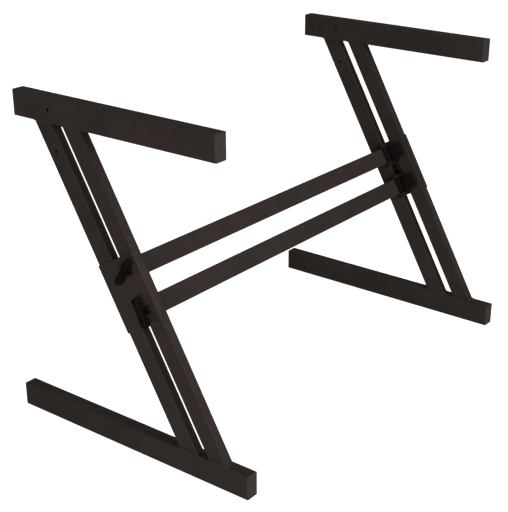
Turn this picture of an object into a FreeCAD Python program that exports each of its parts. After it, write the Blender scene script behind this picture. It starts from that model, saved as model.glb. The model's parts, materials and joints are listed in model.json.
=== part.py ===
"""Folding Z-shaped keyboard stand: two welded side frames hinged to a pair of crossbars.

Millimetres. +Z is up, -Y is the player's side (the front), +X is the player's right.
The origin is on the floor, midway between the two side frames and midway along the feet.
The right-hand side is modelled and the left-hand side is its mirror image.
"""
import FreeCAD, Part
import math
import os

from FreeCAD import Rotation, Vector

# ---------------------------------------------------------------- driving dimensions

# Whole stand
STAND_WIDTH = 954.0            # across the outer faces of the top arms
STAND_HEIGHT = 680.0           # floor to the top of the arms
ARM_LENGTH = 487.0
FOOT_LENGTH = 592.0
ARM_REAR_OVERHANG = 51.0       # arm beyond the rear edge of the rear diagonal
FOOT_FRONT_OVERHANG = 51.0     # foot beyond the front edge of the front diagonal

# Rectangular tube of the arms and feet
RAIL_HEIGHT = 50.0
RAIL_WIDTH = 28.0
RAIL_WALL = 1.5
RAIL_CORNER = 2.0

# Rectangular tube of the diagonals
BRACE_LEAN_DEG = 60.3          # above the floor
BRACE_WIDTH = 38.5
BRACE_DEPTH = 19.0
BRACE_WALL = 1.5
BRACE_CORNER = 1.5
BRACE_GAP = 23.5               # open slot between the two diagonals
BRACE_SHIFT = 1.0              # diagonals outward of the rails' middle plane

# Rectangular tube of the crossbars
CROSSBAR_HEIGHT = 38.0         # along the diagonals
CROSSBAR_DEPTH = 16.0          # square to the diagonals
CROSSBAR_WALL = 1.5
CROSSBAR_CORNER = 2.0
CROSSBAR_PITCH = 79.0          # centre to centre, along the diagonals
CROSSBAR_RISE = 1.0            # their middle above the middle of the diagonals

# Pressed saddle over the outer faces of the diagonals
SADDLE_LENGTH = 138.0
SADDLE_SHEET = 2.5
SADDLE_FLANGE = 12.0           # how far it wraps the front and rear faces

# Moulded end caps
CAP_RIM = 2.5
CAP_SPIGOT = 16.0
CAP_SPIGOT_WALL = 2.5

# Fold hinge
PIN_RADIUS = 5.0
PIN_HEAD_RADIUS = 7.0
PIN_HEAD_THICKNESS = 1.5
PIN_TAIL = 3.0                 # pin beyond the last ear, with the clip's groove
CLIP_THICKNESS = 1.0
CLIP_RADIUS = 7.5
CLIP_GROOVE_DEPTH = 0.9
CLIP_MOUTH = 7.0
BARREL_WALL = 7.0
KNUCKLE_NECK = 6.0             # between the barrel and the crossbar's end
KNUCKLE_SPIGOT = 40.0
STOP_LUG_REACH = 20.0
PAD_THICKNESS = 9.0
PAD_HEIGHT = 35.0
PAD_END_MARGIN = 10.0          # bare tube left beyond each end of the hinge block
PAD_CORNER = 3.0
EAR_THICKNESS = 7.0
EAR_WALL = 8.0                 # round the pin
EAR_FOOT = 32.0                # ear's length along the pad
CLAMP_SLIT = 1.0

# Screws
BLOCK_SCREW_RADIUS = 2.5
BLOCK_SCREW_HEAD_RADIUS = 4.8
BLOCK_SCREW_LENGTH = 13.0
BLOCK_SCREW_SPACING = 18.0
BAR_SCREW_RADIUS = 2.0
BAR_SCREW_HEAD_RADIUS = 3.8
BAR_SCREW_LENGTH = 9.0
BAR_SCREW_SPACING = 20.0
SCREW_DRIVE_ACROSS = 3.0       # hexagon socket, across its flats
SCREW_DRIVE_DEPTH = 1.4

# Clamp knobs
STUD_RADIUS = 4.0
STUD_HOLE_RADIUS = 4.5
STUD_SHIFT = 5.0               # studs behind the middle of the front diagonal
INSERT_RADIUS = 6.5
INSERT_COVER = 2.0             # hinge block left over the insert's blind end
SLEEVE_RADIUS = 7.5
WASHER_RADIUS = 10.0
WASHER_THICKNESS = 1.5
KNOB_STEM_LENGTH = 7.0
KNOB_STEM_BASE_RADIUS = 9.0
KNOB_STEM_TOP_RADIUS = 7.0
KNOB_BAR_LENGTH = 58.0
KNOB_BAR_WIDTH = 15.0
KNOB_BAR_WAIST = 11.0
KNOB_BAR_DEPTH = 16.0
KNOB_EDGE = 2.5
KNOB_STUD_GRIP = 15.0          # stud moulded into the knob
KNOB_TURN_DEG = {
    "left_upper": -31.0,
    "left_lower": 94.0,
    "right_upper": 88.0,
    "right_lower": -88.0,
}

# Accessory holes
ACCESSORY_HOLE_RADIUS = 3.25
ARM_HOLE_FROM_END = 20.0
ARM_HOLE_SPACING = 72.0
BRACE_HOLE_DROP = 52.0         # below the underside of the arm

# Clearances
RUNNING_CLEARANCE = 0.05
SLIDE_CLEARANCE = 0.1
TURNING_GAP = 0.5              # between the barrel and the hinge block
STOP_GAP = 0.3
FOLD_GAP = 1.0                 # between the folded crossbar and the hinge block

# ---------------------------------------------------------------- derived sizes

LEAN = math.radians(BRACE_LEAN_DEG)
RAIL_CENTRE_X = (STAND_WIDTH - RAIL_WIDTH) / 2.0
PAIR_WIDTH = 2.0 * BRACE_WIDTH + BRACE_GAP
BRACE_OFFSET = (BRACE_WIDTH + BRACE_GAP) / 2.0
PAIR_WIDTH_LEVEL = PAIR_WIDTH / math.sin(LEAN)
ARM_BOTTOM = STAND_HEIGHT - RAIL_HEIGHT
BRACE_RISE = ARM_BOTTOM - RAIL_HEIGHT
BRACE_RUN = BRACE_RISE / math.tan(LEAN)

FOOT_FRONT = -FOOT_LENGTH / 2.0
FOOT_REAR = FOOT_LENGTH / 2.0
PAIR_FOOT_Y = FOOT_FRONT + FOOT_FRONT_OVERHANG + PAIR_WIDTH_LEVEL / 2.0
PAIR_ARM_Y = PAIR_FOOT_Y + BRACE_RUN
ARM_REAR = PAIR_ARM_Y + PAIR_WIDTH_LEVEL / 2.0 + ARM_REAR_OVERHANG
ARM_FRONT = ARM_REAR - ARM_LENGTH

# The lean frame: its origin is the middle of the diagonals, its Z runs up along them
# and its Y runs across them, to the rear.
LEAN_X = RAIL_CENTRE_X + BRACE_SHIFT
LEAN_ORIGIN = Vector(LEAN_X, (PAIR_FOOT_Y + PAIR_ARM_Y) / 2.0, RAIL_HEIGHT + BRACE_RISE / 2.0)
LEAN_TURN = Rotation(Vector(1, 0, 0), BRACE_LEAN_DEG - 90.0)

INNER_FACE = -BRACE_DEPTH / 2.0
OUTER_FACE = BRACE_DEPTH / 2.0
SADDLE_FACE = OUTER_FACE + SADDLE_SHEET

BARREL_RADIUS = PIN_RADIUS + BARREL_WALL
PIN_X = INNER_FACE - PAD_THICKNESS - FOLD_GAP - CROSSBAR_DEPTH / 2.0
CROSSBAR_END_X = PIN_X - BARREL_RADIUS - KNUCKLE_NECK
EAR_RADIUS = PIN_RADIUS + EAR_WALL
EAR_INSIDE = CROSSBAR_HEIGHT / 2.0 + TURNING_GAP
EAR_OUTSIDE = EAR_INSIDE + EAR_THICKNESS
PAD_REACH = PAIR_WIDTH / 2.0 - PAD_END_MARGIN
CROSSBAR_LEVELS = {
    "upper": CROSSBAR_RISE + CROSSBAR_PITCH / 2.0,
    "lower": CROSSBAR_RISE - CROSSBAR_PITCH / 2.0,
}

STUD_Y = STUD_SHIFT - BRACE_OFFSET
INSERT_END = INNER_FACE - PAD_THICKNESS + INSERT_COVER
KNOB_SEAT = SADDLE_FACE + WASHER_THICKNESS
PROUD = 1.0                    # how far a cutting tool stands past the face it cuts


# ---------------------------------------------------------------- basic shapes

def rounded_rectangle(width, height, radius):
    """A face in the XY plane, centred on the origin."""
    half_w = width / 2.0
    half_h = height / 2.0
    reach = min(radius, half_w * 0.98, half_h * 0.98)
    slant = reach * (1.0 - math.sqrt(0.5))
    corners = ((1, 1), (-1, 1), (-1, -1), (1, -1))
    starts = []
    ends = []
    middles = []
    for sign_x, sign_y in corners:
        side_point = Vector(sign_x * half_w, sign_y * (half_h - reach), 0)
        top_point = Vector(sign_x * (half_w - reach), sign_y * half_h, 0)
        middles.append(Vector(sign_x * (half_w - slant), sign_y * (half_h - slant), 0))
        if sign_x * sign_y > 0:
            starts.append(side_point)
            ends.append(top_point)
        else:
            starts.append(top_point)
            ends.append(side_point)
    edges = []
    for index in range(4):
        edges.append(Part.Arc(starts[index], middles[index], ends[index]).toShape())
        edges.append(Part.makeLine(ends[index], starts[(index + 1) % 4]))
    return Part.Face(Part.Wire(edges))


def rounded_bar(width, height, radius, length):
    """A solid bar of rounded rectangular section, from Z = 0 up."""
    return rounded_rectangle(width, height, radius).extrude(Vector(0, 0, length))


def rectangular_tube(width, height, corner, wall, length):
    """A hollow tube with rounded corners, from Z = 0 up."""
    outer = rounded_bar(width, height, corner, length)
    bore_corner = max(corner - wall, wall / 4.0)
    bore = rounded_bar(width - 2 * wall, height - 2 * wall, bore_corner, length)
    return outer.cut(bore)


def cylinder_x(radius, start_x, end_x, y=0.0, z=0.0):
    """A cylinder along X."""
    low = min(start_x, end_x)
    return Part.makeCylinder(radius, abs(end_x - start_x), Vector(low, y, z), Vector(1, 0, 0))


def box_between(low, high):
    """A box from its lowest to its highest corner."""
    size = high - low
    return Part.makeBox(size.x, size.y, size.z, low)


def polygon_prism(points, travel):
    """A prism on a closed outline of points."""
    outline = Part.makePolygon(list(points) + [points[0]])
    return Part.Face(outline).extrude(travel)


def single(shape):
    """The one solid of a shape, cleaned of seams left by joining."""
    cleaned = shape.removeSplitter()
    return cleaned.Solids[0]


def turned_along_y(shape, origin):
    """Lay a shape that stands on Z along +Y, with its own Y axis upright."""
    laid = shape.copy()
    laid.rotate(Vector(0, 0, 0), Vector(1, 0, 0), -90.0)
    laid.translate(origin)
    return laid


def leaned(shape):
    """Move a shape from the lean frame of the right side to the stand."""
    moved = shape.copy()
    moved.Placement = FreeCAD.Placement(LEAN_ORIGIN, LEAN_TURN).multiply(moved.Placement)
    return moved


def mirrored(shape):
    """The left-hand twin of a right-hand shape."""
    return shape.mirror(Vector(0, 0, 0), Vector(1, 0, 0))


def countersunk_screw(radius, head_radius, length):
    """A countersunk screw: its flat head at Z = 0, pointing down, with a hexagon socket."""
    corner_radius = SCREW_DRIVE_ACROSS / math.sqrt(3.0)
    corners = []
    for index in range(6):
        angle = index * math.pi / 3.0
        corners.append(Vector(corner_radius * math.cos(angle), corner_radius * math.sin(angle), 0))
    socket = polygon_prism(corners, Vector(0, 0, -SCREW_DRIVE_DEPTH))
    return single(screw_hole(radius, head_radius, length).cut(socket))


def screw_hole(radius, head_radius, length):
    """The room that a countersunk screw takes up."""
    cone_height = head_radius - radius
    head = Part.makeCone(radius, head_radius, cone_height, Vector(0, 0, -cone_height))
    shank = Part.makeCylinder(radius, length, Vector(0, 0, -length))
    return head.fuse(shank)


# ---------------------------------------------------------------- arms and feet

def rail(length, rear_y, bottom_z):
    """The tube of an arm or a foot, between its two caps."""
    tube = rectangular_tube(RAIL_WIDTH, RAIL_HEIGHT, RAIL_CORNER, RAIL_WALL, length - 2 * CAP_RIM)
    front_end = Vector(RAIL_CENTRE_X, rear_y - length + CAP_RIM, bottom_z + RAIL_HEIGHT / 2.0)
    return turned_along_y(tube, front_end)


def top_arm():
    """The upper rail, with its two accessory holes near the rear end."""
    arm = rail(ARM_LENGTH, ARM_REAR, ARM_BOTTOM)
    for distance in (ARM_HOLE_FROM_END, ARM_HOLE_FROM_END + ARM_HOLE_SPACING):
        hole = cylinder_x(
            ACCESSORY_HOLE_RADIUS,
            RAIL_CENTRE_X - RAIL_WIDTH,
            RAIL_CENTRE_X + RAIL_WIDTH,
            ARM_REAR - distance,
            ARM_BOTTOM + RAIL_HEIGHT / 2.0,
        )
        arm = arm.cut(hole)
    return single(arm)


def foot():
    """The lower rail, which stands on the floor."""
    return single(rail(FOOT_LENGTH, FOOT_REAR, 0.0))


def end_cap(end_y, outward, bottom_z):
    """A moulded cap: a rim over the tube's end and a hollow spigot inside it."""
    rim = rounded_bar(RAIL_WIDTH, RAIL_HEIGHT, RAIL_CORNER, CAP_RIM)
    inner_width = RAIL_WIDTH - 2 * RAIL_WALL - 2 * SLIDE_CLEARANCE
    inner_height = RAIL_HEIGHT - 2 * RAIL_WALL - 2 * SLIDE_CLEARANCE
    spigot = rectangular_tube(
        inner_width, inner_height, RAIL_CORNER - RAIL_WALL + CAP_SPIGOT_WALL / 2.0, CAP_SPIGOT_WALL, CAP_SPIGOT
    )
    spigot.translate(Vector(0, 0, -CAP_SPIGOT))
    cap = single(rim.fuse(spigot))
    face_edges = [edge for edge in cap.Edges if edge.BoundBox.ZMin > CAP_RIM - 1e-6]
    cap = cap.makeFillet(CAP_RIM * 0.4, face_edges)
    if outward < 0:
        cap.rotate(Vector(0, 0, 0), Vector(1, 0, 0), 180.0)
    seat = Vector(RAIL_CENTRE_X, end_y - outward * CAP_RIM, bottom_z + RAIL_HEIGHT / 2.0)
    return turned_along_y(cap, seat)


# ---------------------------------------------------------------- diagonals and saddle

def stud_path(radius, start_x, end_x, level):
    """A cylinder along a clamp stud's line, in the lean frame."""
    return cylinder_x(radius, start_x, end_x, STUD_Y, level)


def diagonal(across):
    """A diagonal tube in the stand's frame, mitred to the arm and the foot."""
    reach = STAND_HEIGHT / math.sin(LEAN)
    tube = rectangular_tube(BRACE_DEPTH, BRACE_WIDTH, BRACE_CORNER, BRACE_WALL, 2 * reach)
    tube.translate(Vector(0, across, -reach))
    return leaned(tube)


def mitred(shape):
    """The stretch of a shape between the foot's top and the arm's underside."""
    side = STAND_WIDTH + FOOT_LENGTH
    return shape.common(box_between(Vector(-side, -side, RAIL_HEIGHT), Vector(side, side, ARM_BOTTOM)))


def front_diagonal():
    """The front tube, drilled for the clamp studs."""
    tube = diagonal(-BRACE_OFFSET)
    for level in CROSSBAR_LEVELS.values():
        tube = tube.cut(leaned(stud_path(STUD_HOLE_RADIUS, -BRACE_DEPTH, BRACE_DEPTH, level)))
    return single(mitred(tube))


def rear_diagonal():
    """The rear tube, drilled for the hinge blocks' screws and for an accessory."""
    tube = diagonal(BRACE_OFFSET)
    for level in CROSSBAR_LEVELS.values():
        for side in (-1, 1):
            z = level + side * BLOCK_SCREW_SPACING / 2.0
            hole = cylinder_x(BLOCK_SCREW_RADIUS, INNER_FACE - PROUD, 0.0, BRACE_OFFSET, z)
            tube = tube.cut(leaned(hole))
    hole_z = (BRACE_RISE / 2.0 - BRACE_HOLE_DROP + BRACE_OFFSET * math.cos(LEAN)) / math.sin(LEAN)
    accessory = cylinder_x(ACCESSORY_HOLE_RADIUS, -BRACE_DEPTH, BRACE_DEPTH, BRACE_OFFSET, hole_z)
    return single(mitred(tube.cut(leaned(accessory))))


def saddle():
    """The pressed C-shaped plate welded over the diagonals' outer faces."""
    depth = BRACE_DEPTH + 2 * SADDLE_SHEET
    width = PAIR_WIDTH + 2 * SADDLE_SHEET
    shell = rounded_bar(depth, width, BRACE_CORNER + SADDLE_SHEET, SADDLE_LENGTH)
    seat = rounded_bar(BRACE_DEPTH, PAIR_WIDTH, BRACE_CORNER, SADDLE_LENGTH)
    plate = shell.cut(seat)
    flange_edge = OUTER_FACE - SADDLE_FLANGE
    open_side = box_between(
        Vector(-depth, -width, -PROUD), Vector(flange_edge, width, SADDLE_LENGTH + PROUD)
    )
    plate = plate.cut(open_side)
    plate.translate(Vector(0, 0, -SADDLE_LENGTH / 2.0))
    for level in CROSSBAR_LEVELS.values():
        plate = plate.cut(stud_path(STUD_HOLE_RADIUS, 0.0, SADDLE_FACE + PROUD, level))
    return single(plate)


# ---------------------------------------------------------------- hinge blocks

def pad_outline(level):
    """The hinge block's foot as seen from the inside: broad at the ears, slim at its ends."""
    slim = PAD_HEIGHT / 2.0
    broad = EAR_OUTSIDE
    near = EAR_FOOT / 2.0
    shoulder = near + (broad - slim)
    outline = (
        (-PAD_REACH, -slim), (-shoulder, -slim), (-near, -broad), (near, -broad), (shoulder, -slim),
        (PAD_REACH, -slim), (PAD_REACH, slim), (shoulder, slim), (near, broad), (-near, broad),
        (-shoulder, slim), (-PAD_REACH, slim),
    )
    return [Vector(INNER_FACE, y, level + z) for y, z in outline]


def ear(level, side):
    """One ear: a plate round the pin, square to it, with a sloping foot."""
    height = INNER_FACE - PIN_X
    low = min(side * EAR_INSIDE, side * EAR_OUTSIDE) + level
    half_foot = EAR_FOOT / 2.0
    spread = math.asin(min(0.95, EAR_RADIUS / math.hypot(half_foot, height)))
    slope = math.atan2(height, half_foot) + spread
    touch_y = EAR_RADIUS * math.sin(slope)
    touch_x = PIN_X + EAR_RADIUS * math.cos(slope)
    flanks = polygon_prism(
        (
            Vector(INNER_FACE, -half_foot, low), Vector(INNER_FACE, half_foot, low),
            Vector(touch_x, touch_y, low), Vector(PIN_X, 0, low), Vector(touch_x, -touch_y, low),
        ),
        Vector(0, 0, EAR_THICKNESS),
    )
    nose = Part.makeCylinder(EAR_RADIUS, EAR_THICKNESS, Vector(PIN_X, 0, low))
    return flanks.fuse(nose)


def hinge_block(level):
    """The moulded block that carries a crossbar's pin and clamps it."""
    block = polygon_prism(pad_outline(level), Vector(-PAD_THICKNESS, 0, 0))
    end_edges = [
        edge for edge in block.Edges
        if abs(edge.BoundBox.XLength - PAD_THICKNESS) < 1e-6
        and abs(abs(edge.CenterOfMass.y) - PAD_REACH) < 1e-6
    ]
    block = block.makeFillet(PAD_CORNER, end_edges)
    for side in (-1, 1):
        block = block.fuse(ear(level, side))
    swept = Part.makeCylinder(BARREL_RADIUS + TURNING_GAP, 2 * EAR_INSIDE, Vector(PIN_X, 0, level - EAR_INSIDE))
    bore = Part.makeCylinder(
        PIN_RADIUS + RUNNING_CLEARANCE, 2 * EAR_OUTSIDE, Vector(PIN_X, 0, level - EAR_OUTSIDE)
    )
    slit = box_between(
        Vector(PIN_X, -CLAMP_SLIT / 2.0, level - EAR_OUTSIDE - PROUD),
        Vector(INNER_FACE + PROUD, CLAMP_SLIT / 2.0, level + EAR_OUTSIDE + PROUD),
    )
    relief = box_between(
        Vector(INNER_FACE - CLAMP_SLIT, -PAIR_WIDTH, level - EAR_OUTSIDE - PROUD),
        Vector(INNER_FACE + PROUD, 0, level + EAR_OUTSIDE + PROUD),
    )
    insert_seat = stud_path(INSERT_RADIUS, INSERT_END, INNER_FACE, level)
    for tool in (swept, bore, slit, relief, insert_seat):
        block = block.cut(tool)
    for screw_place in block_screw_places(level):
        block = block.cut(placed_block_screw(
            screw_hole(BLOCK_SCREW_RADIUS, BLOCK_SCREW_HEAD_RADIUS, BLOCK_SCREW_LENGTH), screw_place
        ))
    return single(block)


def block_screw_places(level):
    """The heads of the two screws that hold a hinge block to the rear diagonal."""
    head_x = INNER_FACE - PAD_THICKNESS
    return [
        Vector(head_x, BRACE_OFFSET, level - BLOCK_SCREW_SPACING / 2.0),
        Vector(head_x, BRACE_OFFSET, level + BLOCK_SCREW_SPACING / 2.0),
    ]


def placed_block_screw(screw, head):
    """Point an upright screw shape into the rear diagonal."""
    placed = screw.copy()
    placed.rotate(Vector(0, 0, 0), Vector(0, 1, 0), -90.0)
    placed.translate(head)
    return placed


def block_screws():
    """All screws of one side's hinge blocks."""
    screw = countersunk_screw(BLOCK_SCREW_RADIUS, BLOCK_SCREW_HEAD_RADIUS, BLOCK_SCREW_LENGTH)
    screws = []
    for level in CROSSBAR_LEVELS.values():
        screws += [placed_block_screw(screw, place) for place in block_screw_places(level)]
    return Part.makeCompound(screws)


def insert_nuts():
    """The threaded inserts that the clamp studs screw into."""
    nuts = []
    for level in CROSSBAR_LEVELS.values():
        body = stud_path(INSERT_RADIUS, INSERT_END, INNER_FACE - CLAMP_SLIT, level)
        thread = stud_path(STUD_RADIUS + RUNNING_CLEARANCE, INSERT_END - PROUD, INNER_FACE, level)
        nuts.append(single(body.cut(thread)))
    return Part.makeCompound(nuts)


def crush_sleeves():
    """The spacers that keep the clamp studs from squashing the front diagonal."""
    inside = BRACE_DEPTH / 2.0 - BRACE_WALL
    sleeves = []
    for level in CROSSBAR_LEVELS.values():
        body = stud_path(SLEEVE_RADIUS, -inside, inside, level)
        sleeves.append(single(body.cut(stud_path(STUD_HOLE_RADIUS, -BRACE_DEPTH, BRACE_DEPTH, level))))
    return Part.makeCompound(sleeves)


# ---------------------------------------------------------------- clamp knobs

def knob_washers():
    """The washers under the knobs, on the saddle's outer face."""
    washers = []
    for level in CROSSBAR_LEVELS.values():
        body = stud_path(WASHER_RADIUS, SADDLE_FACE, KNOB_SEAT, level)
        washers.append(single(body.cut(stud_path(STUD_HOLE_RADIUS, 0.0, KNOB_SEAT + PROUD, level))))
    return Part.makeCompound(washers)


def knob_stud(level):
    """The steel stud, from inside the knob to just short of the insert's blind end."""
    tip = INSERT_END + TURNING_GAP
    stud = stud_path(STUD_RADIUS, tip, KNOB_SEAT + KNOB_STUD_GRIP, level)
    tip_edge = [edge for edge in stud.Edges if edge.BoundBox.XMax < tip + 1e-6]
    return single(stud.makeChamfer(STUD_RADIUS / 5.0, tip_edge))


def knob_bar_outline():
    """The T-bar seen from the end: round ends and a slightly waisted middle."""
    half_end = KNOB_BAR_WIDTH / 2.0
    half_waist = KNOB_BAR_WAIST / 2.0
    straight = KNOB_BAR_LENGTH / 2.0 - half_end
    upper = Part.Arc(Vector(0, straight, half_end), Vector(0, 0, half_waist), Vector(0, -straight, half_end))
    front = Part.Arc(
        Vector(0, -straight, half_end), Vector(0, -KNOB_BAR_LENGTH / 2.0, 0), Vector(0, -straight, -half_end)
    )
    lower = Part.Arc(Vector(0, -straight, -half_end), Vector(0, 0, -half_waist), Vector(0, straight, -half_end))
    rear = Part.Arc(
        Vector(0, straight, -half_end), Vector(0, KNOB_BAR_LENGTH / 2.0, 0), Vector(0, straight, half_end)
    )
    return Part.Face(Part.Wire([arc.toShape() for arc in (upper, front, lower, rear)]))


def knob(level, turn_deg):
    """A moulded T-knob: a tapered stem and a bar across it, turned by an angle about the stud."""
    along = Vector(1, 0, 0)
    bar = knob_bar_outline().extrude(Vector(KNOB_BAR_DEPTH, 0, 0))
    bar = bar.makeFillet(KNOB_EDGE, bar.Edges)
    bar.translate(Vector(KNOB_STEM_LENGTH, 0, 0))
    stem = Part.makeCone(
        KNOB_STEM_BASE_RADIUS, KNOB_STEM_TOP_RADIUS, KNOB_STEM_LENGTH + KNOB_EDGE, Vector(0, 0, 0), along
    )
    grip = Part.makeCylinder(STUD_RADIUS, KNOB_STUD_GRIP, Vector(0, 0, 0), along)
    body = single(bar.fuse(stem).cut(grip))
    body.rotate(Vector(0, 0, 0), along, turn_deg)
    body.translate(Vector(KNOB_SEAT, STUD_Y, level))
    return body


# ---------------------------------------------------------------- crossbars

def crossbar(level):
    """One crossbar, between the knuckles at its two ends, drilled for their screws."""
    half_length = LEAN_X + CROSSBAR_END_X
    tube = rectangular_tube(CROSSBAR_HEIGHT, CROSSBAR_DEPTH, CROSSBAR_CORNER, CROSSBAR_WALL, 2 * half_length)
    tube.rotate(Vector(0, 0, 0), Vector(0, 1, 0), 90.0)
    tube.translate(Vector(-half_length - LEAN_X, 0, level))
    bar = leaned(tube)
    for screw_place in bar_screw_places(level):
        hole = placed_bar_screw(
            screw_hole(BAR_SCREW_RADIUS, BAR_SCREW_HEAD_RADIUS, BAR_SCREW_LENGTH), screw_place
        )
        bar = bar.cut(leaned(hole))
        bar = bar.cut(mirrored(leaned(hole)))
    return single(bar)


def bar_screw_places(level):
    """The heads of the two screws that hold a knuckle, on the crossbar's rear face."""
    x = CROSSBAR_END_X - KNUCKLE_SPIGOT / 2.0
    y = CROSSBAR_DEPTH / 2.0
    return [
        Vector(x, y, level - BAR_SCREW_SPACING / 2.0),
        Vector(x, y, level + BAR_SCREW_SPACING / 2.0),
    ]


def placed_bar_screw(screw, head):
    """Point an upright screw shape forwards into the crossbar."""
    placed = screw.copy()
    placed.rotate(Vector(0, 0, 0), Vector(1, 0, 0), -90.0)
    placed.translate(head)
    return placed


def bar_screws(level):
    """The screws at both ends of one crossbar."""
    screw = countersunk_screw(BAR_SCREW_RADIUS, BAR_SCREW_HEAD_RADIUS, BAR_SCREW_LENGTH)
    right = [leaned(placed_bar_screw(screw, place)) for place in bar_screw_places(level)]
    left = [mirrored(shape) for shape in right]
    return Part.makeCompound(right + left)


def knuckle(level):
    """The cast fitting in a crossbar's end: spigot, neck, hinge barrel and stop lug."""
    half_height = CROSSBAR_HEIGHT / 2.0
    low = level - half_height
    spigot_height = CROSSBAR_HEIGHT - 2 * CROSSBAR_WALL - 2 * SLIDE_CLEARANCE
    spigot_depth = CROSSBAR_DEPTH - 2 * CROSSBAR_WALL - 2 * SLIDE_CLEARANCE
    spigot_corner = max(CROSSBAR_CORNER - CROSSBAR_WALL, CROSSBAR_WALL / 4.0)
    spigot = rounded_bar(spigot_height, spigot_depth, spigot_corner, KNUCKLE_SPIGOT)
    spigot.rotate(Vector(0, 0, 0), Vector(0, 1, 0), -90.0)
    spigot.translate(Vector(CROSSBAR_END_X, 0, level))
    neck = rounded_bar(CROSSBAR_HEIGHT, CROSSBAR_DEPTH, CROSSBAR_CORNER, PIN_X - CROSSBAR_END_X)
    neck.rotate(Vector(0, 0, 0), Vector(0, 1, 0), 90.0)
    neck.translate(Vector(CROSSBAR_END_X, 0, level))
    barrel = Part.makeCylinder(BARREL_RADIUS, CROSSBAR_HEIGHT, Vector(PIN_X, 0, low))
    lug = box_between(
        Vector(PIN_X, 0, low + CROSSBAR_CORNER),
        Vector(INNER_FACE - PAD_THICKNESS - STOP_GAP, STOP_LUG_REACH, low + CROSSBAR_HEIGHT - CROSSBAR_CORNER),
    )
    body = spigot.fuse(neck).fuse(barrel).fuse(lug)
    body = body.cut(Part.makeCylinder(PIN_RADIUS, CROSSBAR_HEIGHT, Vector(PIN_X, 0, low)))
    for screw_place in bar_screw_places(level):
        body = body.cut(placed_bar_screw(
            screw_hole(BAR_SCREW_RADIUS, BAR_SCREW_HEAD_RADIUS, BAR_SCREW_LENGTH), screw_place
        ))
    return single(body)


def hinge_pin(level):
    """A headed steel pin through the knuckle and both ears, with a clip groove at its foot."""
    head_z = level + EAR_OUTSIDE + STOP_GAP
    shank_length = 2 * EAR_OUTSIDE + STOP_GAP + PIN_TAIL
    shank = Part.makeCylinder(PIN_RADIUS, shank_length, Vector(PIN_X, 0, head_z - shank_length))
    head = Part.makeCylinder(PIN_HEAD_RADIUS, PIN_HEAD_THICKNESS, Vector(PIN_X, 0, head_z))
    head = head.makeFillet(PIN_HEAD_THICKNESS * 0.4, [edge for edge in head.Edges if
                                                      edge.BoundBox.ZMin > head_z + PIN_HEAD_THICKNESS - 1e-6])
    return single(shank.fuse(head).cut(clip_ring(level, PIN_RADIUS + PROUD)))


def clip_ring(level, outer_radius):
    """The ring between the groove's floor and an outer radius, where the clip sits."""
    low = Vector(PIN_X, 0, level - EAR_OUTSIDE - STOP_GAP - CLIP_THICKNESS)
    ring = Part.makeCylinder(outer_radius, CLIP_THICKNESS, low)
    return ring.cut(Part.makeCylinder(PIN_RADIUS - CLIP_GROOVE_DEPTH, CLIP_THICKNESS, low))


def pin_clips():
    """The open spring clips in the pins' grooves, at both sides."""
    clips = []
    for level in CROSSBAR_LEVELS.values():
        z = level - EAR_OUTSIDE
        mouth = box_between(
            Vector(PIN_X - 2 * CLIP_RADIUS, -CLIP_MOUTH / 2.0, z - PIN_TAIL),
            Vector(PIN_X, CLIP_MOUTH / 2.0, z + PROUD),
        )
        clip = leaned(single(clip_ring(level, CLIP_RADIUS).cut(mouth)))
        clips += [clip, mirrored(clip)]
    return Part.makeCompound(clips)


# ---------------------------------------------------------------- assembly

def side_frame_nodes():
    """Every right-hand node of a side frame, by its plain name."""
    arm_ends = {"front": (ARM_FRONT, -1), "rear": (ARM_REAR, 1)}
    foot_ends = {"front": (FOOT_FRONT, -1), "rear": (FOOT_REAR, 1)}
    nodes = {
        "top_arm": top_arm(),
        "foot": foot(),
        "front_diagonal": front_diagonal(),
        "rear_diagonal": rear_diagonal(),
        "centre_saddle": leaned(saddle()),
        "hinge_block_screws": leaned(block_screws()),
        "insert_nuts": leaned(insert_nuts()),
        "crush_sleeves": leaned(crush_sleeves()),
        "knob_washers": leaned(knob_washers()),
    }
    for name, level in CROSSBAR_LEVELS.items():
        nodes[name + "_hinge_block"] = leaned(hinge_block(level))
        nodes[name + "_knob_stud"] = leaned(knob_stud(level))
    for name, (end_y, outward) in arm_ends.items():
        nodes["arm_" + name + "_cap"] = end_cap(end_y, outward, ARM_BOTTOM)
    for name, (end_y, outward) in foot_ends.items():
        nodes["foot_" + name + "_cap"] = end_cap(end_y, outward, 0.0)
    return nodes


def all_nodes():
    """Every node of the stand, by name."""
    nodes = {"hinge_pin_clips": pin_clips()}
    for name, shape in side_frame_nodes().items():
        nodes["right_" + name] = shape
        nodes["left_" + name] = mirrored(shape)
    for name, level in CROSSBAR_LEVELS.items():
        nodes[name + "_crossbar"] = crossbar(level)
        nodes[name + "_crossbar_screws"] = bar_screws(level)
        right_knuckle = leaned(knuckle(level))
        right_pin = leaned(hinge_pin(level))
        nodes["right_" + name + "_knuckle"] = right_knuckle
        nodes["left_" + name + "_knuckle"] = mirrored(right_knuckle)
        nodes["right_" + name + "_hinge_pin"] = right_pin
        nodes["left_" + name + "_hinge_pin"] = mirrored(right_pin)
        nodes["right_" + name + "_knob"] = leaned(knob(level, KNOB_TURN_DEG["right_" + name]))
        nodes["left_" + name + "_knob"] = mirrored(leaned(knob(level, KNOB_TURN_DEG["left_" + name])))
    return nodes


def main():
    """Write one STEP file per node."""
    os.makedirs("parts", exist_ok=True)
    for name, shape in sorted(all_nodes().items()):
        shape.exportStep("parts/" + name + ".step")
        box = shape.BoundBox
        print(
            f"{name}: solids {len(shape.Solids)} valid {shape.isValid()} volume {shape.Volume:.0f} "
            f"x {box.XMin:.1f}..{box.XMax:.1f} y {box.YMin:.1f}..{box.YMax:.1f} z {box.ZMin:.1f}..{box.ZMax:.1f}"
        )


main()
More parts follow.
